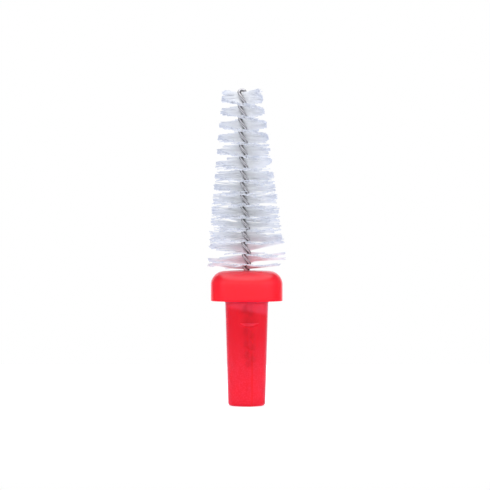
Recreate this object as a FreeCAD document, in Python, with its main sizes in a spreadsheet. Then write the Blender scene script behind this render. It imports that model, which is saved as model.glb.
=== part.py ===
# Interdental brush insert: a moulded holder, a twisted wire and the filaments that the wire grips.
# Millimetres. +Z runs from the stem to the brush tip, and -Y is the front. The origin is on the
# stem's axis, in the plane of the collar's underside, where the insert seats on a handle.
import FreeCAD
import Part
import Sketcher
import math
import os

# Driving dimensions: name, value and meaning. Lengths are in millimetres and angles in degrees.
SIZES = (
    ("collar_diameter", 6.14, "outside of the collar"),
    ("collar_height", 2.63, "underside of the collar to the top of its crown"),
    ("shoulder_radius", 1.17, "rounded shoulder of the collar"),
    ("crown_radius", 30.0, "slight dome on top of the collar"),
    ("rim_chamfer", 0.06, "broken edge of the collar's underside"),
    ("stem_length", 8.95, "underside of the collar to the end of the stem"),
    ("stem_root_diameter", 3.69, "stem where it meets the collar"),
    ("stem_end_diameter", 3.17, "stem at its end"),
    ("stem_root_fillet", 0.22, "inside corner between stem and collar"),
    ("stem_end_fillet", 0.28, "edge of the stem's end"),
    ("detent_drop", 0.92, "underside of the collar to the step of the locking flat"),
    ("detent_length", 0.95, "locking flat, along the stem"),
    ("detent_ramp", 0.35, "run-out under the locking flat, along the stem"),
    ("detent_depth", 0.28, "locking flat, inwards from the stem's root diameter"),
    ("detent_turn", 8.0, "locking flat, round the stem from the front"),
    ("wire_diameter", 0.30, "one strand of the wire"),
    ("wire_sides", 6, "sides of the strand's section"),
    ("wire_lean", 1.5, "lean of the twisted wire from the stem's axis, at the collar's top"),
    ("tail_length", 8.1, "twisted wire moulded into the holder, from the collar's top"),
    ("seat_clearance", 0.01, "between the twisted wire and its seat in the holder"),
    ("tier_count", 15, "tiers of filaments, one for each half turn of the wire"),
    ("tier_height_base", 0.97, "half turn of the wire at the collar"),
    ("tier_height_tip", 1.14, "half turn of the wire at the tip"),
    ("twist_start", 0.55, "half turns at the collar's top, which cuts off that much of the first tier"),
    ("neck_length", 0.10, "bare wire between the collar and the first filament"),
    ("hairpin_start_share", 0.10, "share of the last half turn that is left to the hairpin bend"),
    ("hairpin_rise_share", 1.2, "rise of the hairpin bend as a share of the strand radius"),
    ("hairpin_swing", -20.0, "turn of the hairpin's crossing from the line between the strands"),
    ("filament_thickness", 0.08, "one filament"),
    ("filament_clearance", 0.010, "between neighbouring filaments, and between filament and strand"),
    ("brush_base_diameter", 7.0, "trimmed brush at the collar"),
    ("brush_tip_diameter", 3.4, "trimmed brush at the tip"),
    ("cut_overrun", 0.5, "how far a cutting shape runs past the surface"),
)

# The wire is twisted left-handed: going up, it turns clockwise as seen from the tip.
TWIST_HAND = -1
# A quarter turn, counted in half turns: the strands are drawn as biarcs of that length.
QUARTER_TURN = 0.5
# How closely a round edge has to lie at the height that is looked for.
EDGE_TOLERANCE = 1e-7
# Points on each arc when the wire's gap to itself is measured.
GAP_POINTS = 5
# Strand centre to twist axis, as an expression on the sheet.
STRAND_RADIUS = "sizes.wire_diameter / 2 + sizes.filament_thickness + 3 * sizes.filament_clearance / 2"

doc = FreeCAD.newDocument("interdental_brush")
sheet = doc.addObject("Spreadsheet::Sheet", "sizes")
for row, (alias, number, meaning) in enumerate(SIZES, start=1):
    sheet.set(f"A{row}", meaning)
    sheet.set(f"B{row}", str(number))
    sheet.setAlias(f"B{row}", alias)
doc.recompute()


def size(alias):
    """A driving dimension, read from the sheet."""
    return float(sheet.get(alias))


# Holder: collar and stem in one moulding

def origin_plane(body, role):
    """One of a body's own origin planes."""
    return next(plane for plane in body.Origin.OriginFeatures if plane.Role == role)


def new_sketch(body, name, role):
    """An empty sketch on one of the body's origin planes."""
    sketch = body.newObject("Sketcher::SketchObject", name)
    sketch.AttachmentSupport = (origin_plane(body, role), [""])
    sketch.MapMode = "FlatFace"
    return sketch


def dimension(sketch, kind, geometry, name, expression):
    """Adds a named dimension to a sketch and binds it to the sheet."""
    number = sketch.evalExpression(expression)
    index = sketch.addConstraint(Sketcher.Constraint(kind, *geometry, float(number)))
    sketch.renameConstraint(index, name)
    sketch.setExpression(f"Constraints.{name}", expression)


def line(start, end):
    """A straight sketch line between two (across, up) points."""
    return Part.LineSegment(FreeCAD.Vector(*start, 0), FreeCAD.Vector(*end, 0))


def arc(centre, radius, start_angle, end_angle):
    """A sketch arc, drawn anticlockwise between two angles in radians."""
    circle = Part.Circle(FreeCAD.Vector(*centre, 0), FreeCAD.Vector(0, 0, 1), radius)
    return Part.ArcOfCircle(circle, start_angle, end_angle)


def draw_holder_profile(body):
    """Half section of collar and stem, from the middle of the stem's end round to the crown."""
    collar = size("collar_diameter") / 2
    root = size("stem_root_diameter") / 2
    end = size("stem_end_diameter") / 2
    length = size("stem_length")
    top = size("collar_height")
    shoulder = size("shoulder_radius")
    crown = size("crown_radius")
    crown_centre = top - crown
    shoulder_across = collar - shoulder
    shoulder_up = crown_centre + math.sqrt((crown - shoulder) ** 2 - shoulder_across ** 2)
    blend_angle = math.atan2(shoulder_up - crown_centre, shoulder_across)

    sketch = new_sketch(body, "holder_profile", "XZ_Plane")
    stem_end, taper, underside, side, shoulder_arc, crown_arc, axis = sketch.addGeometry([
        line((0, -length), (end, -length)),
        line((end, -length), (root, 0)),
        line((root, 0), (collar, 0)),
        line((collar, 0), (collar, shoulder_up)),
        arc((shoulder_across, shoulder_up), shoulder, 0, blend_angle),
        arc((0, crown_centre), crown, blend_angle, math.pi / 2),
        line((0, top), (0, -length)),
    ], False)
    first, last, centre = 1, 2, 3
    across_axis, up_axis, origin = -1, -2, (-1, 1)
    sketch.addConstraint([
        Sketcher.Constraint("Coincident", stem_end, last, taper, first),
        Sketcher.Constraint("Coincident", taper, last, underside, first),
        Sketcher.Constraint("Coincident", underside, last, side, first),
        Sketcher.Constraint("Tangent", side, last, shoulder_arc, first),
        Sketcher.Constraint("Tangent", shoulder_arc, last, crown_arc, first),
        Sketcher.Constraint("Coincident", crown_arc, last, axis, first),
        Sketcher.Constraint("Coincident", axis, last, stem_end, first),
        Sketcher.Constraint("Horizontal", stem_end),
        Sketcher.Constraint("Horizontal", underside),
        Sketcher.Constraint("Vertical", side),
        Sketcher.Constraint("PointOnObject", axis, first, up_axis),
        Sketcher.Constraint("PointOnObject", axis, last, up_axis),
        Sketcher.Constraint("PointOnObject", crown_arc, centre, up_axis),
        Sketcher.Constraint("PointOnObject", underside, first, across_axis),
    ])
    dimension(sketch, "DistanceY", (stem_end, first, *origin), "length", "sizes.stem_length")
    dimension(sketch, "DistanceX", (*origin, taper, first), "end", "sizes.stem_end_diameter / 2")
    dimension(sketch, "DistanceX", (*origin, taper, last), "root", "sizes.stem_root_diameter / 2")
    dimension(sketch, "DistanceX", (*origin, side, first), "collar", "sizes.collar_diameter / 2")
    dimension(sketch, "DistanceY", (*origin, axis, first), "top", "sizes.collar_height")
    dimension(sketch, "Radius", (shoulder_arc,), "shoulder", "sizes.shoulder_radius")
    dimension(sketch, "Radius", (crown_arc,), "crown", "sizes.crown_radius")
    return sketch


def circle_edge(shape, radius, height):
    """Name of the round edge with this radius, at this height on the axis."""
    for number, edge in enumerate(shape.Edges, start=1):
        if not isinstance(edge.Curve, Part.Circle):
            continue
        level = math.isclose(edge.Curve.Center.z, height, abs_tol=EDGE_TOLERANCE)
        if level and math.isclose(edge.Curve.Radius, radius):
            return f"Edge{number}"
    raise ValueError(f"no round edge of radius {radius} at height {height}")


def dress_edge(body, kind, name, radius, height, reach):
    """Rounds or breaks one of the body's round edges, by a size that the sheet has under that name."""
    base = body.Tip
    dressing = body.newObject(kind, name)
    dressing.Base = (base, [circle_edge(base.Shape, radius, height)])
    dressing.setExpression(reach, f"sizes.{name}")
    doc.recompute()


def cut_detent(body):
    """Locking flat on the stem's front: a square step towards the collar and a ramp below."""
    reach = "sizes.stem_root_diameter / 2"
    flat = f"{reach} - sizes.detent_depth"
    outside = f"{reach} + sizes.cut_overrun"
    step = "sizes.detent_drop"
    foot = f"{step} + sizes.detent_length"
    run_out = f"{foot} + sizes.detent_ramp"
    corners = ((flat, step), (flat, foot), (reach, run_out), (outside, run_out), (outside, step))

    sketch = new_sketch(body, "detent_profile", "YZ_Plane")
    turn = FreeCAD.Rotation(FreeCAD.Vector(0, 1, 0), size("detent_turn"))
    sketch.AttachmentOffset = FreeCAD.Placement(FreeCAD.Vector(), turn)
    sketch.setExpression("AttachmentOffset.Rotation.Angle", "sizes.detent_turn")
    points = [(-sketch.evalExpression(out), -sketch.evalExpression(down)) for out, down in corners]
    sides = sketch.addGeometry([line(points[i - 1], points[i]) for i in range(len(points))], False)
    first, last, origin = 1, 2, (-1, 1)
    for number, side in enumerate(sides):
        out, down = corners[number]
        following = sides[(number + 1) % len(sides)]
        sketch.addConstraint(Sketcher.Constraint("Coincident", side, last, following, first))
        dimension(sketch, "DistanceX", (side, last, *origin), f"out{number}", out)
        dimension(sketch, "DistanceY", (side, last, *origin), f"down{number}", down)

    before = body.Shape.Volume
    pocket = body.newObject("PartDesign::Pocket", "detent")
    pocket.Profile = sketch
    pocket.SideType = "Symmetric"
    pocket.setExpression("Length", "sizes.stem_root_diameter")
    doc.recompute()
    if not body.Shape.Volume < before:
        raise ValueError("the locking flat cuts nothing from the stem")


def make_holder_blank():
    """The moulding without the seat for the wire."""
    body = doc.addObject("PartDesign::Body", "holder_blank")
    sketch = draw_holder_profile(body)
    turned = body.newObject("PartDesign::Revolution", "collar_and_stem")
    turned.Profile = sketch
    turned.ReferenceAxis = (sketch, ["V_Axis"])
    turned.Angle = 360
    doc.recompute()
    diameters = ("stem_root_diameter", "collar_diameter", "stem_end_diameter")
    root, rim, end = (size(name) / 2 for name in diameters)
    dress_edge(body, "PartDesign::Fillet", "stem_root_fillet", root, 0, "Radius")
    dress_edge(body, "PartDesign::Chamfer", "rim_chamfer", rim, 0, "Size")
    dress_edge(body, "PartDesign::Fillet", "stem_end_fillet", end, -size("stem_length"), "Radius")
    cut_detent(body)
    return body


def strand_radius():
    """Strand centre to twist axis: half a strand, outside two layers of filaments with their gaps."""
    return float(sheet.evalExpression(STRAND_RADIUS))


def make_wire_seat():
    """Round seat for the wire's tail, down from the collar's top along the leaning wire."""
    seat = doc.addObject("Part::Cylinder", "wire_seat")
    depth = "(sizes.tail_length + sizes.wire_diameter / 2 + sizes.seat_clearance)"
    seat.setExpression("Radius", f"{STRAND_RADIUS} + sizes.wire_diameter / 2 + sizes.seat_clearance")
    seat.setExpression("Height", f"{depth} + sizes.cut_overrun")
    lean_with_wire(seat)
    seat.setExpression("Placement.Base.x", f"{depth} * sin(sizes.wire_lean)")
    seat.setExpression("Placement.Base.z", f"sizes.collar_height - {depth} * cos(sizes.wire_lean)")
    return seat


def make_holder():
    """The finished moulding, with the seat for the wire cut out of it."""
    holder = doc.addObject("Part::Cut", "holder")
    holder.Base = make_holder_blank()
    holder.Tool = make_wire_seat()
    return holder


# Twist: heights and angles shared by the wire and the filaments, from the middle of the collar's top

def lean_with_wire(piece):
    """Stands a piece on the collar's top and leans it with the twisted wire, to the left."""
    lean = FreeCAD.Rotation(FreeCAD.Vector(0, -1, 0), size("wire_lean"))
    piece.Placement = FreeCAD.Placement(FreeCAD.Vector(0, 0, size("collar_height")), lean)
    piece.setExpression("Placement.Rotation.Angle", "sizes.wire_lean")
    piece.setExpression("Placement.Base.z", "sizes.collar_height")


def top_turns():
    """Half turns of the wire between the collar's top and the top of the last tier."""
    return size("tier_count") - size("twist_start")


def tier_growth():
    """How much taller each half turn is than the one below it."""
    return (size("tier_height_tip") - size("tier_height_base")) / top_turns()


def twist_height(half_turns):
    """Height after a number of half turns from the collar's top: even in the holder, growing above it."""
    growing = half_turns ** 2 / 2 * tier_growth() if half_turns > 0 else 0
    return half_turns * size("tier_height_base") + growing


def twist_rise(half_turns):
    """Height gained per half turn, at a number of half turns."""
    return size("tier_height_base") + max(half_turns, 0) * tier_growth()


def half_turns_at(height):
    """Number of half turns from the collar's top at a height."""
    base = size("tier_height_base")
    if height <= 0:
        return height / base
    return 2 * height / (base + math.sqrt(base ** 2 + 2 * tier_growth() * height))


def twist_angle(half_turns):
    """Direction of the filaments, in radians: across the front view in the middle of each tier."""
    return TWIST_HAND * math.pi * (size("twist_start") + half_turns - QUARTER_TURN)


def hairpin_start():
    """Half turns at which the strands leave the twist for the hairpin bend."""
    return top_turns() - size("hairpin_start_share")


# Wire: one length, twisted up one strand, bent over at the tip and twisted down the other

def strand_station(half_turns, side):
    """Point and direction of a strand's centre line, going up. Side is 1 or -1."""
    angle = twist_angle(half_turns) + side * math.pi / 2
    radius = strand_radius()
    turning = TWIST_HAND * math.pi * radius
    point = FreeCAD.Vector(radius * math.cos(angle), radius * math.sin(angle), twist_height(half_turns))
    way = FreeCAD.Vector(-turning * math.sin(angle), turning * math.cos(angle), twist_rise(half_turns))
    return point, way.normalize()


def hairpin_station():
    """Top of the hairpin bend, where the wire crosses the twist axis."""
    near, _ = strand_station(hairpin_start(), 1)
    far, _ = strand_station(hairpin_start(), -1)
    swing = FreeCAD.Rotation(FreeCAD.Vector(0, 0, 1), size("hairpin_swing"))
    rise = size("hairpin_rise_share") * strand_radius()
    return FreeCAD.Vector(0, 0, near.z + rise), swing.multVec((far - near).normalize())


def biarc(start, end):
    """Two tangent arcs from one (point, direction) station to the next."""
    (start_point, start_way), (end_point, end_way) = start, end
    span = end_point - start_point
    ways = start_way + end_way
    bend = 2 * (1 - start_way.dot(end_way))
    along = span.dot(ways)
    reach = (math.sqrt(along ** 2 + bend * span.dot(span)) - along) / bend
    start_corner = start_point + start_way * reach
    end_corner = end_point - end_way * reach
    middle = (start_corner + end_corner) / 2
    edges = []
    for first, corner, last in ((start_point, start_corner, middle), (middle, end_corner, end_point)):
        half_chord = (last - first).Length / 2
        chord_middle = (first + last) / 2
        crest = chord_middle + (corner - chord_middle) * (half_chord / (half_chord + reach))
        edges.append(Part.Arc(first, crest, last).toShape())
    return edges


def wire_stations():
    """Stations a quarter turn apart, from one end of the tail over the hairpin to the other."""
    low = half_turns_at(-size("tail_length"))
    high = hairpin_start()
    steps = math.ceil((high - low) / QUARTER_TURN)
    turns = [low + (high - low) * step / steps for step in range(steps + 1)]
    going_up = [strand_station(turn, 1) for turn in turns]
    going_down = [(point, -way) for point, way in (strand_station(turn, -1) for turn in reversed(turns))]
    return going_up + [hairpin_station()] + going_down


def print_least_gap(edges):
    """Prints the least clear gap between stretches of wire that don't follow each other."""
    diameter = size("wire_diameter")
    apart = 2 * math.pi * strand_radius()
    marks = []
    travelled = 0
    for edge in edges:
        for point in edge.discretize(GAP_POINTS)[1:]:
            travelled += edge.Length / (GAP_POINTS - 1)
            marks.append((travelled, point))
    least = min(
        point.distanceToPoint(other)
        for number, (here, point) in enumerate(marks)
        for there, other in marks[number + 1:]
        if there - here > apart
    )
    print(f"least gap of the wire to itself: {least - diameter:.3f} mm")


def make_wire_core():
    """The twisted wire as one tube along its biarcs."""
    stations = wire_stations()
    edges = [edge for start, end in zip(stations, stations[1:]) for edge in biarc(start, end)]
    print_least_gap(edges)
    path = doc.addObject("Part::Feature", "wire_path")
    path.Shape = Part.Wire(edges)

    section = doc.addObject("Part::RegularPolygon", "wire_section")
    section.setExpression("Polygon", "sizes.wire_sides")
    section.setExpression("Circumradius", "sizes.wire_diameter / 2")
    start_point, start_way = stations[0]
    section.Placement = FreeCAD.Placement(start_point, FreeCAD.Rotation(FreeCAD.Vector(0, 0, 1), start_way))

    core = doc.addObject("Part::Sweep", "wire_core")
    core.Sections = [section]
    core.Spine = (path, [f"Edge{number}" for number in range(1, len(edges) + 1)])
    core.Solid = True
    core.Frenet = False
    lean_with_wire(core)
    return core


# Filaments: straight bars between the strands, in two layers, trimmed to a cone

def brush_radius(height):
    """Reach of the trimmed filaments from the twist axis."""
    base = size("brush_base_diameter") / 2
    tip = size("brush_tip_diameter") / 2
    return base + (tip - base) * height / twist_height(top_turns())


def filament_heights():
    """Heights of the filaments: packed as close as their clearance lets them."""
    thickness = size("filament_thickness")
    clearance = size("filament_clearance")
    low = size("neck_length") + thickness / 2
    high = twist_height(hairpin_start()) - clearance - thickness / 2
    gaps = int((high - low) / (thickness + clearance))
    return [low + (high - low) * step / gaps for step in range(gaps + 1)]


def filament(height, layer):
    """One filament through the wire. Layer is 1 or -1, the side of the wire's middle plane."""
    thickness = size("filament_thickness")
    reach = brush_radius(height)
    near_side = layer * (thickness + size("filament_clearance")) / 2 - thickness / 2
    corner = FreeCAD.Vector(-reach, near_side, height - thickness / 2)
    bar = Part.makeBox(2 * reach, thickness, thickness, corner)
    turn = math.degrees(twist_angle(half_turns_at(height)))
    bar.rotate(FreeCAD.Vector(), FreeCAD.Vector(0, 0, 1), turn)
    return bar


def make_filament_tiers():
    """One group of separate filaments for each half turn of the wire, from the collar to the tip."""
    tiers = []
    heights = filament_heights()
    for number in range(int(size("tier_count"))):
        own = [height for height in heights if int(size("twist_start") + half_turns_at(height)) == number]
        if not own:
            continue
        tier = doc.addObject("Part::Feature", f"filament_tier_{number + 1:02d}")
        tier.Shape = Part.makeCompound([filament(height, layer) for height in own for layer in (1, -1)])
        lean_with_wire(tier)
        tiers.append(tier)
    return tiers


def check(pieces):
    """Stops if an object of the document failed or a piece has no valid shape."""
    for thing in doc.Objects:
        if "Invalid" in thing.State or "Error" in thing.State:
            raise RuntimeError(f"{thing.Label} failed: {thing.State}")
    for piece in pieces:
        if piece.Shape.isNull() or not piece.Shape.isValid():
            raise RuntimeError(f"{piece.Label} has no valid shape")


pieces = [make_holder(), make_wire_core(), *make_filament_tiers()]
doc.recompute()
check(pieces)
os.makedirs("parts", exist_ok=True)
for piece in pieces:
    piece.Shape.exportStep(f"parts/{piece.Label}.step")
print(f"{len(pieces)} nodes, {sum(len(piece.Shape.Solids) for piece in pieces)} solids")
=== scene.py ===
# Interdental brush insert: a red moulded holder, a twisted steel wire and the nylon filaments it grips.
# Metres. +Z runs from the stem to the brush tip, and -Y is the front. The origin is on the stem's axis,
# in the plane of the collar's underside.
import math

import bmesh
import bpy
from mathutils import Matrix, Vector


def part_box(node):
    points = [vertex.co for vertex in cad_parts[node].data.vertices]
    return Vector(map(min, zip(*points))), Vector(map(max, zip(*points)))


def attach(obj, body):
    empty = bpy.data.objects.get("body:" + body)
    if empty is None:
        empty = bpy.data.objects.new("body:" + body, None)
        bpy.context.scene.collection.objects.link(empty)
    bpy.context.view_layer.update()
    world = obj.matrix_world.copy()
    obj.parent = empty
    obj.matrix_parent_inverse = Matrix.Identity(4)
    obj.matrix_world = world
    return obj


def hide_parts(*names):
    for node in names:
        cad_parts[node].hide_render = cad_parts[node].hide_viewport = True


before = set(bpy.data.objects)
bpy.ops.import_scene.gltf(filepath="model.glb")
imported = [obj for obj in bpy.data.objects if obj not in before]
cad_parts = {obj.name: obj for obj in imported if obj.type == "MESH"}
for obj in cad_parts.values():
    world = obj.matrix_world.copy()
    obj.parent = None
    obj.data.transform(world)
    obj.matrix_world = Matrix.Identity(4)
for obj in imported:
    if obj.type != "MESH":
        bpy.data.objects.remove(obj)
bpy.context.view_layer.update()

bl_info = {
    "name": "Interdental brush",
    "version": (1, 0, 0),
    "blender": (4, 5, 0),
    "location": "3D View > Sidebar > Brush",
    "description": "Builds an interdental brush insert: moulded holder, twisted wire and filaments",
    "category": "Object",
}

STEM_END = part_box("holder")[0].z
WIRE_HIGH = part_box("wire_core")[1]
TIER_NODES = sorted(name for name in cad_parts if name.startswith("filament_tier_"))


# Settings that a user would change

def length(label, text, default):
    """A length in metres."""
    return bpy.props.FloatProperty(
        name=label, description=text, default=default, unit="LENGTH", precision=6)


def angle(label, text, degrees):
    """An angle, given in degrees and kept in radians."""
    return bpy.props.FloatProperty(
        name=label, description=text, default=math.radians(degrees), subtype="ANGLE")


def share(label, text, default):
    """A share of something, from 0 to 1."""
    return bpy.props.FloatProperty(
        name=label, description=text, default=default, subtype="FACTOR", min=0, max=1)


def number(label, text, default):
    """A plain number without a unit."""
    return bpy.props.FloatProperty(name=label, description=text, default=default)


def count(label, text, default):
    """A whole number of things."""
    return bpy.props.IntProperty(name=label, description=text, default=default, min=1)


def colour(label, text, default):
    """A linear colour."""
    return bpy.props.FloatVectorProperty(
        name=label, description=text, default=default, subtype="COLOR", min=0, max=1)


class HolderSettings(bpy.types.PropertyGroup):
    """Sizes and colours of the moulded collar and stem"""

    collar_diameter: length("Collar diameter", "Outside of the collar", 0.00614)
    collar_height: length("Collar height", "Underside of the collar to the top of its crown", 0.00263)
    shoulder_radius: length("Shoulder radius", "Rounded shoulder of the collar", 0.00117)
    crown_radius: length("Crown radius", "Slight dome on top of the collar", 0.030)
    rim_round: length("Rim round", "Edge of the collar's underside", 0.00006)
    stem_length: length("Stem length", "Underside of the collar to the end of the stem", -STEM_END)
    stem_root_diameter: length("Stem root diameter", "Stem where it meets the collar", 0.00369)
    stem_end_diameter: length("Stem end diameter", "Stem at its end", 0.00317)
    root_round: length("Root round", "Inside corner between stem and collar", 0.00022)
    end_round: length("End round", "Edge of the stem's end", 0.00028)
    detent_drop: length("Detent drop", "Underside of the collar to the step of the locking flat", 0.00092)
    detent_length: length("Detent length", "Locking flat, along the stem", 0.00095)
    detent_ramp: length("Detent ramp", "Run-out under the locking flat, along the stem", 0.00035)
    detent_depth: length("Detent depth", "Locking flat, inwards from the stem's root diameter", 0.00028)
    detent_turn: angle("Detent turn", "Locking flat, round the stem from the front", 8)
    parting_turn: angle("Parting turn", "Parting line of the mould, round the stem from the front", 16)
    parting_height: length("Parting height", "How far the parting line stands proud", 0.000012)
    parting_colour: colour("Parting line", "Red plastic in the parting line", (0.90, 0.018, 0.034))
    segments: count("Segments", "Facets round the holder", 180)
    body_colour: colour("Plastic", "Red plastic where it is clear", (0.85, 0.012, 0.032))
    # Painted light: lighter red on the run-out of the locking flat, as if it caught the light from above
    run_out_painted_light_colour: colour("Ramp", "Red plastic on the run-out of the locking flat", (0.99, 0.070, 0.115))
    # Painted light: paler red for the stem's top band, where the collar passes light down, and for the
    # lower stem's frosted, speckled skin, which holds a painted reflection of the floor
    frost_and_painted_light_colour: colour("Frost", "Red plastic where the stem's skin is frosted", (0.99, 0.052, 0.105))
    collar_colour: colour("Collar", "Red plastic of the thick collar", (0.99, 0.008, 0.026))
    collar_clearness: share("Collar clearness", "How much light passes through the collar", 0.06)
    stem_clearness: share("Stem clearness", "How much light passes through the stem", 0.45)
    collar_gloss: share("Collar gloss", "Strength of the collar's reflections", 1.0)
    stem_gloss: share("Stem gloss", "Strength of the stem's reflections", 0.2)
    collar_haze: share("Collar haze", "Paleness of the collar's edges", 0.08)
    stem_haze: share("Stem haze", "Paleness of the stem's edges", 0.55)


class WireSettings(bpy.types.PropertyGroup):
    """Sizes and colour of the twisted wire"""

    strand_diameter: length("Strand diameter", "One strand of the wire", 0.00030)
    strand_offset: length("Strand offset", "Strand centre to twist axis", 0.000245)
    lean: angle("Lean", "Lean of the twisted wire from the stem's axis, to the left", 1.5)
    tail_length: length("Tail length", "Twisted wire inside the holder, from the collar's top", 0.0081)
    half_turn_base: length("Half turn at the base", "Half turn of the wire at the collar", 0.00097)
    half_turn_tip: length("Half turn at the tip", "Half turn of the wire at the tip", 0.00114)
    start: number("Start", "Half turns at the collar's top, cut off from the first tier", 0.55)
    hairpin_turns: number("Hairpin", "Half turns that the hairpin bend takes", 0.45)
    sides: count("Sides", "Facets round a strand", 12)
    steps: count("Steps", "Points of the wire's path in each half turn", 16)
    steel_colour: colour("Steel", "Bright drawn steel", (0.98, 0.95, 0.95))
    # Painted shade: near-black steel where the groove between the strands lies in shade
    painted_groove_shade_colour: colour("Groove", "Steel in the groove between the strands", (0.06, 0.05, 0.055))


class FilamentSettings(bpy.types.PropertyGroup):
    """Sizes and colours of the nylon filaments"""

    thickness: length("Thickness", "One filament", 0.000078)
    layers: count("Layers", "Layers of filaments between the strands", 4)
    layer_gap: length("Layer gap", "Between two layers of filaments, centre to centre", 0.000044)
    neck: length("Neck", "Bare wire between the collar and the first filament", 0.00010)
    base_reach: length("Base reach", "Twist axis to the filament tips at the collar", 0.0035)
    tip_reach: length("Tip reach", "Twist axis to the filament tips at the tip", 0.0017)
    tip_gap: number("Tip gap", "Half turns that the hairpin bend keeps free of filaments", 0.10)
    tip_turns: number("Tip turns", "Half turns of the last tier, before its easing", 1.15)
    tip_easing: number("Tip easing", "Half turns by which the twist falls short under the hairpin", 0.45)
    tip_lift: number("Tip lift", "Upward slope of the topmost filaments", 0.20)
    collar_flat: length("Collar flat", "Twist axis to where the collar's top falls away", 0.0019)
    collar_slope: number("Collar slope", "How steeply the lowest filaments may fall beyond it", 0.25)
    sides: count("Sides", "Facets round a filament", 6)
    steps: count("Steps", "Stretches along a filament", 10)
    clear_colour: colour("Nylon", "Nylon seen through its side", (0.95, 0.957, 0.985))
    # Painted light: whiter nylon at the wire, against the shade of the packed filaments
    root_painted_light_colour: colour("Nylon at the wire", "Nylon where filaments lie close together", (0.99, 0.994, 1.0))
    # Painted shade: greyer nylon at the cut ends, which catch more light; the random cloud grain also mixes
    # towards it
    painted_end_shade_and_cloud_colour: colour("Nylon ends", "Nylon close to its cut ends", (0.65, 0.68, 0.775))
    # Painted shade: grey for the cut faces, which face the light fully
    painted_cap_shade_colour: colour("Nylon caps", "Nylon on its cut faces", (0.66, 0.68, 0.74))
    # Painted light: pink where red light from the collar falls on the nylon
    painted_red_bounce_colour: colour("Nylon at the collar", "Nylon that passes on the collar's red", (1.0, 0.60, 0.66))


class StageSettings(bpy.types.PropertyGroup):
    """Camera, floor and light"""

    camera_distance: length("Camera distance", "Camera to the stem's axis", 0.2)
    camera_height: length("Camera height", "Camera above the collar's underside", 0.0061)
    aim_height: length("Aim height", "Middle of the picture above the collar's underside", 0.00478)
    aim_side: length("Aim side", "Middle of the picture beside the stem's axis", -0.000146)
    view_width: length("View width", "Width of the picture at the stem's axis", 0.04188)
    floor_width: length("Floor width", "Side of the square floor", 0.12)
    floor_colour: colour("Floor", "Pale floor", (0.97, 0.97, 0.97))
    light_colour: colour("Light", "Cool daylight", (0.91, 0.94, 1.0))
    even_light: number("Even light", "Strength of the light from all round", 0.95)
    front_light: number("Front light", "How much stronger the light is from the front", 0.18)
    back_light: number("Back light", "How much stronger the light is from behind", 0.9)
    top_dimming: number("Top dimming", "How much weaker the light is from above", 0.12)
    room_light: number("Room light", "How bright the room is in reflections", 0.05)
    floor_light: number("Floor light", "Light that the floor adds to what it reflects", 0.45)
    floor_shown: number("Floor shown", "How much of that light the camera sees", 0.36)
    softbox_width: length("Softbox width", "Side of the square lamp", 0.40)
    softbox_power: number("Softbox power", "Strength of the lamp, in watts", 0.16)


SETTINGS = {
    "brush_holder": HolderSettings,
    "brush_wire": WireSettings,
    "brush_filaments": FilamentSettings,
    "brush_stage": StageSettings,
}


# Node formulas: a value in a node tree, whose sums and products become Math nodes

class Formula:
    """A value in a node tree."""

    def __init__(self, tree, socket):
        self.tree = tree
        self.socket = socket

    def __add__(self, other):
        return maths(self.tree, "ADD", self, other)

    __radd__ = __add__

    def __mul__(self, other):
        return maths(self.tree, "MULTIPLY", self, other)

    __rmul__ = __mul__

    def __sub__(self, other):
        return maths(self.tree, "SUBTRACT", self, other)

    def __rsub__(self, other):
        return maths(self.tree, "SUBTRACT", other, self)

    def __truediv__(self, other):
        return maths(self.tree, "DIVIDE", self, other)


def feed(tree, socket, value):
    """Links a formula to a socket, or sets the socket to a plain value."""
    if isinstance(value, Formula):
        tree.links.new(value.socket, socket)
    else:
        socket.default_value = value


def maths(tree, operation, *values):
    """A Math node on formulas and plain numbers."""
    node = tree.nodes.new("ShaderNodeMath")
    node.operation = operation
    for socket, value in zip(node.inputs, values):
        feed(tree, socket, value)
    return Formula(tree, node.outputs[0])


def sine(value):
    """Sine of an angle."""
    return maths(value.tree, "SINE", value)


def cosine(value):
    """Cosine of an angle."""
    return maths(value.tree, "COSINE", value)


def least(value, other):
    """The smaller of two values."""
    return maths(value.tree, "MINIMUM", value, other)


def most(value, other):
    """The larger of two values."""
    return maths(value.tree, "MAXIMUM", value, other)


def add_node(tree, kind, inputs=None, **settings):
    """A node with its settings, and its inputs fed by name or by place."""
    node = tree.nodes.new(kind)
    for name, value in settings.items():
        setattr(node, name, value)
    for name, value in (inputs or {}).items():
        feed(tree, node.inputs[name], value)
    return node


def result(tree, node, name=0):
    """One output of a node, as a formula."""
    return Formula(tree, node.outputs[name])


def ramp(tree, value, low, high):
    """A smooth step from 0 at low to 1 at high."""
    step = add_node(tree, "ShaderNodeMapRange", {"Value": value, "From Min": low, "From Max": high},
                    interpolation_type="SMOOTHSTEP")
    return result(tree, step)


def new_tree(name, sockets):
    """A Geometry Nodes tree that puts out geometry, and its inputs as formulas by name."""
    tree = bpy.data.node_groups.new(name, "GeometryNodeTree")
    for label, kind in sockets.items():
        tree.interface.new_socket(label, in_out="INPUT", socket_type=f"NodeSocket{kind}")
    tree.interface.new_socket("Geometry", in_out="OUTPUT", socket_type="NodeSocketGeometry")
    entry = tree.nodes.new("NodeGroupInput")
    return tree, {label: result(tree, entry, label) for label in sockets}


def sweep(tree, path, thickness, sides):
    """A tube of round section along each path."""
    section = add_node(tree, "GeometryNodeCurvePrimitiveCircle", {
        "Resolution": sides, "Radius": thickness / 2})
    tube = add_node(tree, "GeometryNodeCurveToMesh", {
        "Curve": path, "Profile Curve": result(tree, section), "Fill Caps": True})
    return result(tree, tube)


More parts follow.
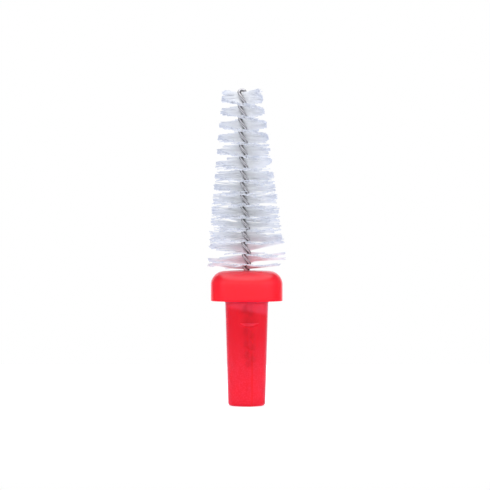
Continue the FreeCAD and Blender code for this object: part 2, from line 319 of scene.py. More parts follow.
def finish(tree, shape, material):
    """Smooths and colours a shape and puts it out."""
    smooth = add_node(tree, "GeometryNodeSetShadeSmooth", {"Geometry": shape})
    plain = add_node(tree, "GeometryNodeRealizeInstances", {"Geometry": result(tree, smooth)})
    coloured = add_node(tree, "GeometryNodeSetMaterial", {
        "Geometry": result(tree, plain), "Material": material})
    add_node(tree, "NodeGroupOutput", {"Geometry": result(tree, coloured)})


def place_points(tree, path, across, along, up):
    """Moves the points of the paths to the given coordinates."""
    place = add_node(tree, "ShaderNodeCombineXYZ", {"X": across, "Y": along, "Z": up})
    moved = add_node(tree, "GeometryNodeSetPosition", {
        "Geometry": path, "Position": result(tree, place)})
    return result(tree, moved)


def straight_path(tree, start, end, points):
    """A straight path along X with a number of points."""
    line = add_node(tree, "GeometryNodeCurvePrimitiveLine", {
        "Start": (start, 0, 0), "End": (end, 0, 0)})
    path = add_node(tree, "GeometryNodeResampleCurve", {
        "Curve": result(tree, line), "Count": points})
    return result(tree, path)


def coordinates(tree, kind, name):
    """X, Y and Z of a vector that a node of this kind gives."""
    split = add_node(tree, "ShaderNodeSeparateXYZ", {"Vector": result(tree, tree.nodes.new(kind), name)})
    return [result(tree, split, axis) for axis in "XYZ"]


def path_position(tree):
    """Where a point lies on its straight path."""
    return coordinates(tree, "GeometryNodeInputPosition", "Position")[0]


def grown_mesh(name, tree, values):
    """The plain mesh that a tree makes from these input values."""
    grower = bpy.data.objects.new(name, bpy.data.meshes.new(name))
    bpy.context.scene.collection.objects.link(grower)
    modifier = grower.modifiers.new(tree.name, "NODES")
    modifier.node_group = tree
    for item in tree.interface.items_tree:
        if item.in_out == "INPUT":
            modifier[item.identifier] = values[item.name]
    mesh = plain_mesh(grower, name)
    bpy.data.objects.remove(grower)
    return mesh


def plain_mesh(piece, name):
    """A copy of a piece's mesh with its modifiers applied."""
    evaluated = piece.evaluated_get(bpy.context.evaluated_depsgraph_get())
    mesh = bpy.data.meshes.new_from_object(evaluated)
    mesh.name = name
    return mesh


def place_piece(name, mesh, nodes):
    """Puts a finished mesh on the part's body in place of its CAD nodes."""
    piece = bpy.data.objects.new(name, mesh)
    bpy.context.scene.collection.objects.link(piece)
    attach(piece, "root")
    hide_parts(*nodes)
    return piece


# Materials

# Fine grain: stretch along X, Y and Z, scale, and the noise levels at which the mask starts and is full
PLASTIC_GRAIN = ((1, 1, 1), 9000, 0.44, 0.64)
WIRE_GRAIN = ((1, 1, 0.12), 26000, 0.40, 0.66)
NYLON_GRAIN = ((1, 1, 1), 9000, 0.35, 0.75)
GRAIN_DETAIL = 3.0
GRAIN_ROUGHNESS = 0.55

# Bumps of the grain: height in metres, and strength
PLASTIC_BUMP = (0.000004, 0.2)
WIRE_BUMP = (0.000002, 0.3)
NYLON_BUMP = (0.000002, 0.2)


def grain_group():
    """Shared effect: fine grain of a chosen size and stretch, as a mask and a height."""
    name = "fine_grain"
    if name in bpy.data.node_groups:
        return bpy.data.node_groups[name]
    group = bpy.data.node_groups.new(name, "ShaderNodeTree")
    for label, kind in (("Stretch", "Vector"), ("Scale", "Float"), ("Low", "Float"), ("High", "Float")):
        group.interface.new_socket(label, in_out="INPUT", socket_type=f"NodeSocket{kind}")
    for label in ("Mask", "Height"):
        group.interface.new_socket(label, in_out="OUTPUT", socket_type="NodeSocketFloat")
    entry = group.nodes.new("NodeGroupInput")
    place = result(group, group.nodes.new("ShaderNodeTexCoord"), "Object")
    stretched = add_node(group, "ShaderNodeMapping", {
        "Vector": place, "Scale": result(group, entry, "Stretch")})
    noise = add_node(group, "ShaderNodeTexNoise", {
        "Vector": result(group, stretched), "Scale": result(group, entry, "Scale"),
        "Detail": GRAIN_DETAIL, "Roughness": GRAIN_ROUGHNESS})
    mask = add_node(group, "ShaderNodeMapRange", {
        "Value": result(group, noise), "From Min": result(group, entry, "Low"),
        "From Max": result(group, entry, "High")})
    add_node(group, "NodeGroupOutput", {"Mask": result(group, mask), "Height": result(group, noise)})
    return group


def grain(tree, stretch, scale, low, high):
    """Places the shared grain in a material and returns its mask and height."""
    node = tree.nodes.new("ShaderNodeGroup")
    node.node_tree = grain_group()
    for name, value in (("Stretch", stretch), ("Scale", scale), ("Low", low), ("High", high)):
        node.inputs[name].default_value = value
    return result(tree, node, "Mask"), result(tree, node, "Height")


def new_material(name, constants):
    """A material with a Principled shader whose constant sockets are set."""
    material = bpy.data.materials.new(name)
    material.use_nodes = True
    shader = material.node_tree.nodes["Principled BSDF"]
    for label, value in constants.items():
        shader.inputs[label].default_value = value
    return material, material.node_tree, shader


def mix_colours(tree, mask, low, high):
    """A colour that runs from low to high with a mask."""
    mix = add_node(tree, "ShaderNodeMix", data_type="RGBA")
    factor, first, second = (mix.inputs[place] for place in (0, 6, 7))
    feed(tree, factor, mask)
    feed(tree, first, low if isinstance(low, Formula) else (*low, 1))
    feed(tree, second, high if isinstance(high, Formula) else (*high, 1))
    return Formula(tree, mix.outputs[2])


def add_bump(tree, shader, height, distance, strength):
    """Lets a height lift the surface that a shader sees."""
    bump = add_node(tree, "ShaderNodeBump", {
        "Height": height, "Distance": distance, "Strength": strength})
    feed(tree, shader.inputs["Normal"], result(tree, bump, "Normal"))


# Red plastic: ranges in metres over which a look sets in, heights from the collar's underside. The stem's
# top band is painted light from the collar, the lower stem's frost holds a painted reflection of the floor,
# and the run-out is painted lighter
SPECKLE_RANGE = (-0.0022, -0.0065)
SPECKLE_SHARE = 0.38
FROST_AND_PAINTED_REFLECTION_SHARE = 0.24
BAND_RANGE = (-0.0010, -0.0006)
BAND_SLOPE = 0.2
BAND_SHARE = 0.9
RUN_OUT_EDGE = 0.00004
RUN_OUT_FADE = 0.0002
CUT_DEPTHS = (0.00001, 0.00004)
PARTING_WIDTHS = (0.00011, 0.00004)
PARTING_RANGE = (-0.0022, -0.0028)
PLASTIC_ROUGHNESS = 0.22
SPECKLE_ROUGHNESS = 0.08


def red_plastic(settings, name, pale, clearness, gloss, haze):
    """Translucent red moulding: paler near the collar, which on the stem is painted light from the collar;
    frosted and speckled towards the stem's end, with a painted reflection of the floor; painted lighter on
    the run-out of the locking flat.
    """
    material, tree, shader = new_material(name, {
        "Subsurface Weight": 1.0, "Subsurface Scale": 0.0012, "Subsurface Radius": (1.0, 0.16, 0.16),
        "Transmission Weight": clearness, "IOR": 1.49, "Specular IOR Level": gloss,
        "Sheen Weight": haze, "Sheen Roughness": 0.3, "Sheen Tint": (1.0, 0.68, 0.90, 1.0)})
    speckle, height = grain(tree, *PLASTIC_GRAIN)
    aside, ahead, up = coordinates(tree, "ShaderNodeTexCoord", "Object")
    # Lighter towards the stem's end: a frosted, speckled skin, partly a painted reflection of the floor
    low_on_stem = (speckle * SPECKLE_SHARE + FROST_AND_PAINTED_REFLECTION_SHARE) * ramp(tree, up, *SPECKLE_RANGE)
    # Painted light: a paler band on the stem just under the collar, where the collar passes light down
    painted_light_band = ramp(tree, up + aside * BAND_SLOPE, *BAND_RANGE) * BAND_SHARE

    root = settings.stem_root_diameter / 2
    foot = -settings.detent_drop - settings.detent_length
    taper = (root - settings.stem_end_diameter / 2) / settings.stem_length
    depth = up * taper + root - maths(tree, "SQRT", aside * aside + ahead * ahead)
    under_flat = ramp(tree, up, foot + RUN_OUT_EDGE, foot)
    on_run_out = under_flat * ramp(tree, up, foot - settings.detent_ramp, foot - RUN_OUT_FADE)

    turn = settings.parting_turn
    off_line = maths(tree, "ABSOLUTE", aside * math.cos(turn) + ahead * math.sin(turn))
    parting = ramp(tree, off_line, *PARTING_WIDTHS) * ramp(tree, up, *PARTING_RANGE)

    body = mix_colours(tree, most(low_on_stem, painted_light_band), settings.body_colour, pale)
    # Painted light: the run-out under the locking flat is made lighter red, as if lit from above
    body = mix_colours(tree, ramp(tree, depth, *CUT_DEPTHS) * on_run_out, body, settings.run_out_painted_light_colour)
    feed(tree, shader.inputs["Base Color"], mix_colours(tree, parting, body, settings.parting_colour))
    feed(tree, shader.inputs["Roughness"], low_on_stem * SPECKLE_ROUGHNESS + PLASTIC_ROUGHNESS)
    add_bump(tree, shader, height, *PLASTIC_BUMP)
    return material


# Steel: how dark and rough the drawn lines are, and how soon the painted shade in the groove sets in below
# the hairpin
LINE_DARKNESS = 0.12
LINE_ROUGHNESS = 0.08
STEEL_ROUGHNESS = 0.10
HAIRPIN_POWER = 4.0


def attribute(tree, name):
    """A value that a mesh stores under this name."""
    return result(tree, add_node(tree, "ShaderNodeAttribute", attribute_name=name), "Fac")


def steel(settings):
    """Bright drawn wire with fine lines along it; painted shade darkens the groove between its strands, and
    a dark specular tint paints shade on its edges.
    """
    # The near-black Specular Tint darkens the steel's edges: painted shade where the filaments shade the
    # wire
    material, tree, shader = new_material("steel_wire", {
        "Metallic": 1.0, "Specular Tint": (0.1, 0.09, 0.09, 1.0)})
    lines, height = grain(tree, *WIRE_GRAIN)
    twisted = maths(tree, "POWER", attribute(tree, "twisted"), HAIRPIN_POWER)
    # The real drawn lines, and painted shade in the groove between the strands
    dark = most(lines * LINE_DARKNESS, attribute(tree, "groove") * twisted)
    feed(tree, shader.inputs["Base Color"],
         mix_colours(tree, dark, settings.steel_colour, settings.painted_groove_shade_colour))
    feed(tree, shader.inputs["Roughness"], lines * LINE_ROUGHNESS + STEEL_ROUGHNESS)
    add_bump(tree, shader, height, *WIRE_BUMP)
    return material


# Nylon: ranges along a filament, from 0 at the wire to 1 at its ends, and a range of heights in metres, for
# painted light at the wire, painted shade at the ends and painted red light from the collar
END_POWER = 8.0
ROOT_RANGE = (0.65, 0.25)
GLOW_HEIGHTS = (0.0062, 0.0027)
GLOW_RANGE = (0.75, 0.10)
GLOW_SHARE = 0.65
CLOUD_SHARE = 0.12
CLOUD_ROUGHNESS = 0.12
NYLON_ROUGHNESS = 0.28


def nylon(settings):
    """White nylon: greyer at its ends and on its cut faces (painted shade), whitest at the wire (painted
    light against its shade), and pink by the collar (painted red light from the collar).
    """
    material, tree, shader = new_material("nylon", {"IOR": 1.53, "Specular IOR Level": 0.1})
    cloud, height = grain(tree, *NYLON_GRAIN)
    along = attribute(tree, "along")
    end = maths(tree, "POWER", along, END_POWER)
    up = coordinates(tree, "ShaderNodeTexCoord", "Object")[2]
    # Painted light: red light from the collar tints the low filaments near the wire
    painted_red_bounce = ramp(tree, up, *GLOW_HEIGHTS) * ramp(tree, along, *GLOW_RANGE)
    # Painted light: whiter towards the wire, where the filaments shade each other
    body = mix_colours(tree, ramp(tree, along, *ROOT_RANGE), settings.clear_colour, settings.root_painted_light_colour)
    # Painted shade towards the cut ends, and a random cloudy tone
    body = mix_colours(tree, most(end, cloud * CLOUD_SHARE), body, settings.painted_end_shade_and_cloud_colour)
    body = mix_colours(tree, painted_red_bounce * GLOW_SHARE, body, settings.painted_red_bounce_colour)
    feed(tree, shader.inputs["Base Color"],
         # Painted shade on the cut faces
         mix_colours(tree, attribute(tree, "cap"), body, settings.painted_cap_shade_colour))
    feed(tree, shader.inputs["Roughness"], cloud * CLOUD_ROUGHNESS + NYLON_ROUGHNESS)
    add_bump(tree, shader, height, *NYLON_BUMP)
    return material


# Holder

# Stretches of the holder's section, from the stem's end up to the crown
SECTION_STEPS = {
    "end": 5, "end_round": 8, "stem": 30, "root_round": 6, "underside": 5, "rim_round": 5, "side": 6,
    "shoulder": 16, "crown": 10}
SHARP_ANGLE = math.radians(32)


def arc_points(centre, radius, start, end, steps):
    """Points on an arc of the holder's section, its start left out."""
    turns = [start + (end - start) * step / steps for step in range(1, steps + 1)]
    return [(centre[0] + radius * math.cos(turn), centre[1] + radius * math.sin(turn)) for turn in turns]


def line_points(start, end, steps):
    """Points on a straight stretch of the holder's section, its start left out."""
    return [tuple(a + (b - a) * step / steps for a, b in zip(start, end)) for step in range(1, steps + 1)]


def holder_section(sizes):
    """Half section of collar and stem as (across, up) points, from the stem's end up to the crown."""
    collar = sizes.collar_diameter / 2
    root = sizes.stem_root_diameter / 2
    taper = math.atan((root - sizes.stem_end_diameter / 2) / sizes.stem_length)
    end, fillet, rim, shoulder = sizes.end_round, sizes.root_round, sizes.rim_round, sizes.shoulder_radius
    slant = 1 / math.cos(taper)
    end_up = end - sizes.stem_length
    end_centre = (root + end_up * math.tan(taper) - end * slant, end_up)
    root_centre = (root - fillet * math.tan(taper) + fillet * slant, -fillet)
    rim_centre = (collar - rim, rim)
    crown_centre = (0, sizes.collar_height - sizes.crown_radius)
    shoulder_across = collar - shoulder
    shoulder_up = crown_centre[1] + math.sqrt((sizes.crown_radius - shoulder) ** 2 - shoulder_across ** 2)
    blend = math.atan2(shoulder_up - crown_centre[1], shoulder_across)
    quarter = math.pi / 2

    steps = SECTION_STEPS
    points = [(0, -sizes.stem_length)]
    points += line_points(points[-1], (end_centre[0], -sizes.stem_length), steps["end"])
    points += arc_points(end_centre, end, -quarter, -taper, steps["end_round"])
    root_start = arc_points(root_centre, fillet, quarter, math.pi - taper, 1)[0]
    points += line_points(points[-1], root_start, steps["stem"])
    points += arc_points(root_centre, fillet, math.pi - taper, quarter, steps["root_round"])
    points += line_points(points[-1], (rim_centre[0], 0), steps["underside"])
    points += arc_points(rim_centre, rim, -quarter, 0, steps["rim_round"])
    points += line_points(points[-1], (collar, shoulder_up), steps["side"])
    points += arc_points((shoulder_across, shoulder_up), shoulder, 0, blend, steps["shoulder"])
    points += arc_points(crown_centre, sizes.crown_radius, blend, quarter, steps["crown"])
    return points


def turned_mesh(sizes):
    """Collar and stem turned from the section, with the mould's parting line on both sides."""
    shape = bmesh.new()
    section = holder_section(sizes)
    rings = []
    for across, up in section[1:-1]:
        ring = []
        for step in range(sizes.segments):
            turn = sizes.parting_turn - math.pi / 2 + math.tau * step / sizes.segments
            on_line = step % (sizes.segments // 2) == 0 and up < 0
            reach = across + (sizes.parting_height if on_line else 0)
            ring.append(shape.verts.new((reach * math.cos(turn), reach * math.sin(turn), up)))
        rings.append(ring)
    for low, high in zip(rings, rings[1:]):
        for step in range(sizes.segments):
            after = (step + 1) % sizes.segments
            shape.faces.new((low[step], low[after], high[after], high[step]))
    for (_, up), ring, upward in ((section[0], rings[0], False), (section[-1], rings[-1], True)):
        middle = shape.verts.new((0, 0, up))
        for step in range(sizes.segments):
            after = (step + 1) % sizes.segments
            near, far = (ring[step], ring[after]) if upward else (ring[after], ring[step])
            shape.faces.new((near, far, middle))
    mesh = bpy.data.meshes.new("turned_holder")
    shape.to_mesh(mesh)
    shape.free()
    return mesh


def detent_mesh(sizes):
    """The shape that cuts the locking flat: a square step towards the collar and a ramp below."""
    reach = sizes.stem_root_diameter / 2
    flat = reach - sizes.detent_depth
    outside = reach + sizes.detent_depth
    step = -sizes.detent_drop
    foot = step - sizes.detent_length
    run_out = foot - sizes.detent_ramp
    outline = ((flat, step), (outside, step), (outside, run_out), (reach, run_out), (flat, foot))
    shape = bmesh.new()
    left, right = ([shape.verts.new((side, -out, up)) for out, up in outline] for side in (-reach, reach))
    shape.faces.new(left)
    shape.faces.new(reversed(right))
    for place in range(len(outline)):
        shape.faces.new((left[place - 1], right[place - 1], right[place], left[place]))
    bmesh.ops.recalc_face_normals(shape, faces=shape.faces)
    bmesh.ops.rotate(shape, verts=shape.verts, matrix=Matrix.Rotation(sizes.detent_turn, 3, "Z"))
    mesh = bpy.data.meshes.new("detent_cutter")
    shape.to_mesh(mesh)
    shape.free()
    return mesh


class BuildHolder(bpy.types.Operator):
    """Turns the red holder and cuts its locking flat"""

    bl_idname = "brush.build_holder"
    bl_label = "Build holder"

    def execute(self, context):
        sizes = context.scene.brush_holder
        blank = bpy.data.objects.new("holder_blank", turned_mesh(sizes))
        cutter = bpy.data.objects.new("detent_cutter", detent_mesh(sizes))
        for thing in (blank, cutter):
            context.scene.collection.objects.link(thing)
        cut = blank.modifiers.new("detent", "BOOLEAN")
        cut.operation = "DIFFERENCE"
        cut.solver = "EXACT"
        cut.object = cutter
        mesh = plain_mesh(blank, "holder_moulding")
        for thing in (blank, cutter):
            bpy.data.objects.remove(thing)
        mesh.shade_smooth()
        mesh.set_sharp_from_angle(angle=SHARP_ANGLE)
        mesh.materials.clear()
        mesh.materials.append(red_plastic(
            sizes, "red_plastic_collar", sizes.collar_colour, sizes.collar_clearness, sizes.collar_gloss,
            sizes.collar_haze))
        mesh.materials.append(red_plastic(
            sizes, "red_plastic_stem", sizes.frost_and_painted_light_colour, sizes.stem_clearness, sizes.stem_gloss,
            sizes.stem_haze))
        for face in mesh.polygons:
            face.material_index = int(face.center.z < 0)
        place_piece("holder_moulding", mesh, ["holder"])
        return {"FINISHED"}


# Twist: heights and angles shared by the wire and the filaments, from the middle of the collar's top

def lean_matrix(scene):
    """Stands the twist on the collar's top and leans it to the left."""
    up = Matrix.Translation((0, 0, scene.brush_holder.collar_height))
    return up @ Matrix.Rotation(-scene.brush_wire.lean, 4, "Y")


def tier_growth(wire):
    """How much taller each half turn is than the one below it."""
    return (wire.half_turn_tip - wire.half_turn_base) / (len(TIER_NODES) - wire.start)


def twist_height(wire, half_turns):
    """Height above the collar's top after a number of half turns."""
    return half_turns * wire.half_turn_base + half_turns ** 2 / 2 * tier_growth(wire)


def half_turns_at(wire, height):
    """Number of half turns at a height above the collar's top."""
    base = wire.half_turn_base
    return 2 * height / (base + math.sqrt(base ** 2 + 2 * tier_growth(wire) * height))


# Distance from the twist axis, in strand offsets, at which the painted shade of the groove between strands
# starts and is full
GROOVE_SHADE_RANGE = (1.54, 1.10)


def twist_tree():
    """Twisted wire: up one strand, over the hairpin and down the other, as one tube."""
    tree, given = new_tree("twisted_wire", {
        "Apex": "Float", "Half Turns": "Float", "Hairpin": "Float", "Half Turn Base": "Float",
        "Growth": "Float", "Start": "Float", "Offset": "Float", "Diameter": "Float", "Points": "Int",
        "Sides": "Int", "Material": "Material"})
    path = straight_path(tree, -1, 1, given["Points"])
    way = path_position(tree)
    below = maths(tree, "ABSOLUTE", way) * given["Half Turns"]
    bend = given["Hairpin"]
    bent = least(below, bend)
    turns = given["Apex"] - bent * bent / (2 * bend) - most(below - bend, 0)
    across = given["Offset"] * sine(bent / bend * (math.pi / 2))
    turn = maths(tree, "SIGN", way) * (math.pi / 2) - (turns + given["Start"] - 0.5) * math.pi
    above = most(turns, 0)
    up = turns * given["Half Turn Base"] + above * above / 2 * given["Growth"]
    kept = add_node(tree, "GeometryNodeStoreNamedAttribute", {
        "Geometry": path, "Name": "twisted", "Value": bent / bend})
    wound = place_points(tree, result(tree, kept), across * cosine(turn), across * sine(turn), up)
    tube = sweep(tree, wound, given["Diameter"], given["Sides"])
    aside, ahead, _ = coordinates(tree, "GeometryNodeInputPosition", "Position")
    from_axis = maths(tree, "SQRT", aside * aside + ahead * ahead)
    # The groove mark says where painted shade falls between the strands
    depth = add_node(tree, "ShaderNodeMapRange", {
        "Value": from_axis / given["Offset"], "From Min": GROOVE_SHADE_RANGE[0], "From Max": GROOVE_SHADE_RANGE[1]})
    marked = add_node(tree, "GeometryNodeStoreNamedAttribute", {
        "Geometry": tube, "Name": "groove", "Value": result(tree, depth)})
    finish(tree, result(tree, marked), given["Material"])
    return tree


class BuildWire(bpy.types.Operator):
    """Twists the steel wire from its tail in the holder to the hairpin at the tip"""

    bl_idname = "brush.build_wire"
    bl_label = "Build wire"

    def execute(self, context):
        wire = context.scene.brush_wire
        lean = lean_matrix(context.scene)
        apex_height = (lean.inverted() @ WIRE_HIGH).z - wire.strand_diameter / 2
        apex = half_turns_at(wire, apex_height)
        half_turns = apex + wire.tail_length / wire.half_turn_base + wire.hairpin_turns / 2
        mesh = grown_mesh("twisted_wire", twist_tree(), {
            "Apex": apex, "Half Turns": half_turns, "Hairpin": wire.hairpin_turns,
            "Half Turn Base": wire.half_turn_base, "Growth": tier_growth(wire), "Start": wire.start,
            "Offset": wire.strand_offset, "Diameter": wire.strand_diameter,
            "Points": 2 * math.ceil(half_turns * wire.steps) + 1, "Sides": wire.sides,
            "Material": steel(wire)})
        mesh.transform(lean)
        place_piece("twisted_wire", mesh, ["wire_core"])
        return {"FINISHED"}


# Filaments

# Seeds of the random values, each for one end of a filament and one more for its other end
TRIM_BUNDLE_SEED, TRIM_SEED = 10, 15
TILT_SEED, STRAY_SEED, BOW_SEED = 20, 30, 40
SWING_BUNDLE_SEED, SWING_SEED = 50, 60
TIER_SEEDS = 100

# How far a filament follows its bundle, and how far its own way
TRIM_BUNDLE_SHARE, TRIM_SHARE = 0.6, 0.4
SWING_BUNDLE_SHARE, SWING_SHARE = 0.35, 0.65

# The topmost fifth of a tier may lift
LIFTED_PART = 5

# Filaments that point to the front stay closer to level
FRONT_POWER = 3.0
FRONT_LEVELLING = 0.9

# The faces along a filament have fewer corners than this, and those on its cut ends have more
CAP_CORNERS = 4.5


def scatter(tree, given, seed, identity):
    """A random value from -1 to 1 for each filament or bundle, with a seed of its own."""
    node = tree.nodes.new("FunctionNodeRandomValue")
    sockets = {socket.identifier: socket for socket in node.inputs}
    feed(tree, sockets["Min_001"], -1.0)
    feed(tree, sockets["Max_001"], 1.0)
    feed(tree, sockets["ID"], identity)
    feed(tree, sockets["Seed"], given["Seed"] + seed)
    return Formula(tree, next(socket for socket in node.outputs if socket.identifier == "Value_001"))


def filament_tree():
    """One tier: filaments laid side by side through the wire, each turned on with the twist."""
    tree, given = new_tree("filament_tier", {
        "Filaments": "Int", "First Turn": "Float", "Turns": "Float", "Easing": "Float", "Height": "Float",
        "Rise": "Float", "Low Reach": "Float", "High Reach": "Float", "Layers": "Int", "Layer Gap": "Float",
        "Thickness": "Float", "Points": "Int", "Sides": "Int", "Bundle": "Int", "Gather": "Float",
        "Tilt": "Float", "Stray": "Float", "Bow": "Float", "Swing": "Float", "Trim": "Float",
        "Lift": "Float", "Clearance": "Float", "Flat": "Float", "Slope": "Float", "Seed": "Int",
        "Material": "Material"})
    single = straight_path(tree, -1, 1, given["Points"])
    way = path_position(tree)
    out = maths(tree, "ABSOLUTE", way)
    marked = add_node(tree, "GeometryNodeStoreNamedAttribute", {
        "Geometry": single, "Name": "along", "Value": out})
    copies = add_node(tree, "GeometryNodeDuplicateElements", {
        "Geometry": result(tree, marked), "Amount": given["Filaments"]}, domain="SPLINE")
    place = result(tree, copies, "Duplicate Index")
    bundle = maths(tree, "FLOOR", place / given["Bundle"])
    own = (place + 0.5) / given["Filaments"]
    shared = least((bundle + 0.5) * given["Bundle"] / given["Filaments"], 1)
    through = own + (shared - own) * given["Gather"] * out * out
    right = maths(tree, "GREATER_THAN", way, 0.0)

    def either_end(seed, identity):
        """A random value that differs between a filament's two ends."""
        left_value, right_value = (scatter(tree, given, seed + end, identity) for end in (0, 1))
        return left_value + (right_value - left_value) * right

    reach = given["Low Reach"] + (given["High Reach"] - given["Low Reach"]) * own
    trim = (either_end(TRIM_BUNDLE_SEED, bundle) * TRIM_BUNDLE_SHARE
            + either_end(TRIM_SEED, place) * TRIM_SHARE)
    reach = reach * (1 - given["Trim"] * maths(tree, "ABSOLUTE", trim))
    crown = most(own * LIFTED_PART - (LIFTED_PART - 1), 0)
    rise = (given["Tilt"] * either_end(TILT_SEED, bundle) + given["Stray"] * either_end(STRAY_SEED, place)
            + given["Lift"] * crown)
    bow = given["Bow"] * either_end(BOW_SEED, bundle)
    swing = given["Swing"] * (either_end(SWING_BUNDLE_SEED, bundle) * SWING_BUNDLE_SHARE
                              + either_end(SWING_SEED, place) * SWING_SHARE)
    half_turns = given["First Turn"] + given["Turns"] * through - given["Easing"] * through * through
    turn = (half_turns - 0.5) * -math.pi
    heading = turn + swing * out
    layer = maths(tree, "MODULO", place, given["Layers"]) - (given["Layers"] - 1) / 2
    layer = layer * given["Layer Gap"]
    far = out * reach
    across = way * reach * cosine(heading) - layer * sine(turn)
    along = way * reach * sine(heading) + layer * cosine(turn)
    above_collar = given["Clearance"] - most(far - given["Flat"], 0) * given["Slope"]
    forward = most(maths(tree, "SIGN", way) * sine(heading) * -1, 0)
    frontness = maths(tree, "POWER", forward, FRONT_POWER)
    sway = (rise + bow * out) * (1 - frontness * FRONT_LEVELLING)
    up = most(given["Height"] + given["Rise"] * through + far * sway, above_collar)
    laid = place_points(tree, result(tree, copies), across, along, up)
    tube = sweep(tree, laid, given["Thickness"], given["Sides"])
    corners = result(tree, tree.nodes.new("GeometryNodeInputMeshFaceNeighbors"), "Vertex Count")
    capped = add_node(tree, "GeometryNodeStoreNamedAttribute", {
        "Geometry": tube, "Name": "cap",
        "Value": maths(tree, "GREATER_THAN", corners, CAP_CORNERS)}, domain="FACE")
    finish(tree, result(tree, capped), given["Material"])
    return tree


# How the filaments lie, from the collar up: how many tiers lie so, and in what way
LOOKS = (
    (3, {"spacing": 0.0000150, "Bundle": 11, "Gather": 0.70, "Tilt": 0.160, "Stray": 0.035, "Bow": 0.060,
         "Swing": 0.40, "Trim": 0.10}),
    (5, {"spacing": 0.0000125, "Bundle": 6, "Gather": 0.25, "Tilt": 0.120, "Stray": 0.085, "Bow": 0.030,
         "Swing": 0.70, "Trim": 0.05}),
    (3, {"spacing": 0.0000125, "Bundle": 8, "Gather": 0.25, "Tilt": 0.070, "Stray": 0.050, "Bow": 0.020,
         "Swing": 0.64, "Trim": 0.03}),
    (4, {"spacing": 0.0000115, "Bundle": 2, "Gather": 0.10, "Tilt": 0.015, "Stray": 0.025, "Bow": 0.005,
         "Swing": 0.55, "Trim": 0.01}),
)


class BuildFilaments(bpy.types.Operator):
    """Lays the nylon filaments through the wire, one tier for each half turn"""

    bl_idname = "brush.build_filaments"
    bl_label = "Build filaments"

    def execute(self, context):
        settings, wire = context.scene.brush_filaments, context.scene.brush_wire
        lean = lean_matrix(context.scene)
        tree, material = filament_tree(), nylon(settings)
        brush_height = twist_height(wire, len(TIER_NODES) - wire.start)
        looks = [look for tiers, look in LOOKS for _ in range(tiers)]
        for tier, (node, look) in enumerate(zip(TIER_NODES, looks)):
            at_tip = node == TIER_NODES[-1]
            first = max(tier - wire.start, half_turns_at(wire, settings.neck))
            last = tier + 1 - wire.start - (settings.tip_gap if at_tip else 0)
            low, high = (twist_height(wire, turns) for turns in (first, last))
            low_reach, high_reach = (
                settings.base_reach + (settings.tip_reach - settings.base_reach) * height / brush_height
                for height in (low, high))
            lay = {name: value for name, value in look.items() if name != "spacing"}
            mesh = grown_mesh(f"nylon_{node}", tree, {
                **lay, "Filaments": round((high - low) / look["spacing"]), "First Turn": first + wire.start,
                "Turns": settings.tip_turns if at_tip else last - first,
                "Easing": settings.tip_easing if at_tip else 0.0,
                "Lift": settings.tip_lift if at_tip else 0.0,
                "Height": low, "Rise": high - low, "Low Reach": low_reach, "High Reach": high_reach,
                "Layers": settings.layers, "Layer Gap": settings.layer_gap,
                "Thickness": settings.thickness, "Points": settings.steps + 1, "Sides": settings.sides,
                "Clearance": settings.neck, "Flat": settings.collar_flat, "Slope": settings.collar_slope,
                "Seed": TIER_SEEDS * tier, "Material": material})
            mesh.transform(lean)
            place_piece(f"nylon_{node}", mesh, [node])
        return {"FINISHED"}


# Stage

SOFTBOX_PLACE = (0.11, -0.165, 0.01)
SOFTBOX_AIM = (0, 0, 0.004)

# Directions of the light, as ranges of the Y or Z of a way out: -Y is the front and +Z is up
FRONT = (-0.1, -0.8)
BEHIND = (0.0, 0.8)
ABOVE = (0.1, 0.8)

# What mirrors see of the room, as ranges of the same kind and levels
BACKDROP = (0.75, 0.98)
WALL_HEIGHT, WALL_FRONT, WALL_LEVEL = (-0.25, 0.15), (0.3, -0.2), 0.50
CEILING, CEILING_LEVEL = (0.58, 0.70), 1.3


def look_at(thing, target):
    """Turns a camera or lamp to face a point."""
    thing.rotation_euler = (Vector(target) - thing.location).to_track_quat("-Z", "Y").to_euler()


def add_camera(stage):
    """Camera at the photograph's viewing angle."""
    lens = bpy.data.cameras.new("camera")
    lens.lens = lens.sensor_width * stage.camera_distance / stage.view_width
    camera = bpy.data.objects.new("camera", lens)
    camera.location = (stage.aim_side, -stage.camera_distance, stage.camera_height)
    look_at(camera, (stage.aim_side, 0, stage.aim_height))
    bpy.context.scene.collection.objects.link(camera)
    bpy.context.scene.camera = camera


def add_softbox(name, place, width, power):
    """A large square lamp that faces the brush, unseen by the camera and in mirrors."""
    lamp = bpy.data.lights.new(name, "AREA")
    lamp.size = width
    lamp.energy = power
    softbox = bpy.data.objects.new(name, lamp)
    softbox.location = place
    look_at(softbox, SOFTBOX_AIM)
    softbox.visible_camera = False
    softbox.visible_glossy = False
    bpy.context.scene.collection.objects.link(softbox)


def ray_kinds(tree):
    """Masks of the rays that see the background directly or through plastic, and of mirrored ones."""
    rays = tree.nodes.new("ShaderNodeLightPath")
    through = result(tree, rays, "Is Transmission Ray")
    mirrored = result(tree, rays, "Is Glossy Ray") * (1 - through)
    return most(result(tree, rays, "Is Camera Ray"), through), mirrored


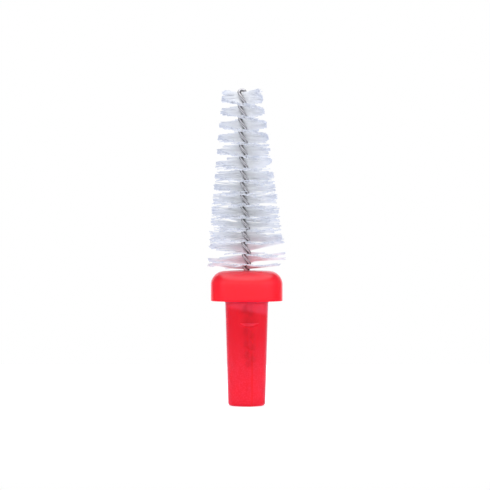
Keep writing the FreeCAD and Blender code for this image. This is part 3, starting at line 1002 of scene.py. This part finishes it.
def light_world(scene, stage):
    """Cool light from all round, stronger from behind and the front, with a white background.

    Mirrors see a dim room with a backdrop, a paler wall in front and a bright ceiling.
    """
    scene.world = bpy.data.worlds.new("studio")
    scene.world.use_nodes = True
    tree = scene.world.node_tree
    background = tree.nodes["Background"]
    _, ahead, high = coordinates(tree, "ShaderNodeTexCoord", "Generated")
    soft = ramp(tree, ahead, *FRONT) * stage.front_light + stage.even_light
    soft = soft + ramp(tree, ahead, *BEHIND) * stage.back_light
    soft = soft - ramp(tree, high, *ABOVE) * stage.top_dimming
    backdrop = ramp(tree, ahead, *BACKDROP)
    wall = ramp(tree, high, *WALL_HEIGHT) * ramp(tree, ahead, *WALL_FRONT) * WALL_LEVEL
    ceiling = most(wall, ramp(tree, high, *CEILING) * CEILING_LEVEL)
    room = stage.room_light + most(backdrop, ceiling) * (1 - stage.room_light)
    direct, mirrored = ray_kinds(tree)
    level = soft + direct * (1 - soft) + mirrored * (room - soft)
    feed(tree, background.inputs["Color"], mix_colours(tree, direct, stage.light_colour, (1, 1, 1)))
    feed(tree, background.inputs["Strength"], level)


def add_floor(stage):
    """Plain pale floor under the stem's end, unseen in mirrors.

    It keeps the shadow, and gives light of its own, so that it fades into the white background.
    """
    half = stage.floor_width / 2
    corners = ((-half, -half), (half, -half), (half, half), (-half, half))
    shape = bmesh.new()
    shape.faces.new([shape.verts.new((x, y, STEM_END)) for x, y in corners])
    mesh = bpy.data.meshes.new("floor")
    shape.to_mesh(mesh)
    shape.free()
    material = bpy.data.materials.new("pale_floor")
    material.use_nodes = True
    tree = material.node_tree
    tree.nodes.remove(tree.nodes["Principled BSDF"])
    matt = add_node(tree, "ShaderNodeBsdfDiffuse", {"Color": (*stage.floor_colour, 1)})
    seen, _ = ray_kinds(tree)
    glow = add_node(tree, "ShaderNodeEmission", {
        "Color": (1, 1, 1, 1),
        "Strength": stage.floor_light - seen * (stage.floor_light - stage.floor_shown)})
    both = add_node(tree, "ShaderNodeAddShader", {0: result(tree, matt), 1: result(tree, glow)})
    feed(tree, tree.nodes["Material Output"].inputs["Surface"], result(tree, both))
    mesh.materials.append(material)
    floor = bpy.data.objects.new("floor", mesh)
    floor.visible_glossy = False
    bpy.context.scene.collection.objects.link(floor)


class BuildStage(bpy.types.Operator):
    """Sets up the camera, the pale floor and the soft light"""

    bl_idname = "brush.build_stage"
    bl_label = "Build stage"

    def execute(self, context):
        stage = context.scene.brush_stage
        context.scene.view_settings.view_transform = "Standard"
        add_camera(stage)
        add_floor(stage)
        light_world(context.scene, stage)
        add_softbox("front_softbox", SOFTBOX_PLACE, stage.softbox_width, stage.softbox_power)
        return {"FINISHED"}


OPERATORS = (BuildStage, BuildHolder, BuildWire, BuildFilaments)


class BrushPanel(bpy.types.Panel):
    """Lists the settings and the steps of the brush"""

    bl_idname = "VIEW3D_PT_interdental_brush"
    bl_label = "Interdental brush"
    bl_space_type = "VIEW_3D"
    bl_region_type = "UI"
    bl_category = "Brush"

    def draw(self, context):
        for operator in OPERATORS:
            self.layout.operator(operator.bl_idname)
        for name, settings in SETTINGS.items():
            box = self.layout.box()
            box.label(text=settings.__doc__)
            for prop in settings.__annotations__:
                box.prop(getattr(context.scene, name), prop)


def register():
    """Registers the settings, the operators and the panel."""
    for name, settings in SETTINGS.items():
        bpy.utils.register_class(settings)
        setattr(bpy.types.Scene, name, bpy.props.PointerProperty(type=settings))
    for kind in (*OPERATORS, BrushPanel):
        bpy.utils.register_class(kind)


def unregister():
    """Takes the panel, the operators and the settings out again."""
    for kind in (BrushPanel, *reversed(OPERATORS)):
        bpy.utils.unregister_class(kind)
    for name, settings in SETTINGS.items():
        delattr(bpy.types.Scene, name)
        bpy.utils.unregister_class(settings)


def main():
    """Builds the brush and its stage."""
    register()
    bpy.ops.brush.build_stage()
    bpy.ops.brush.build_holder()
    bpy.ops.brush.build_wire()
    bpy.ops.brush.build_filaments()


if __name__ == "__main__":
    main()
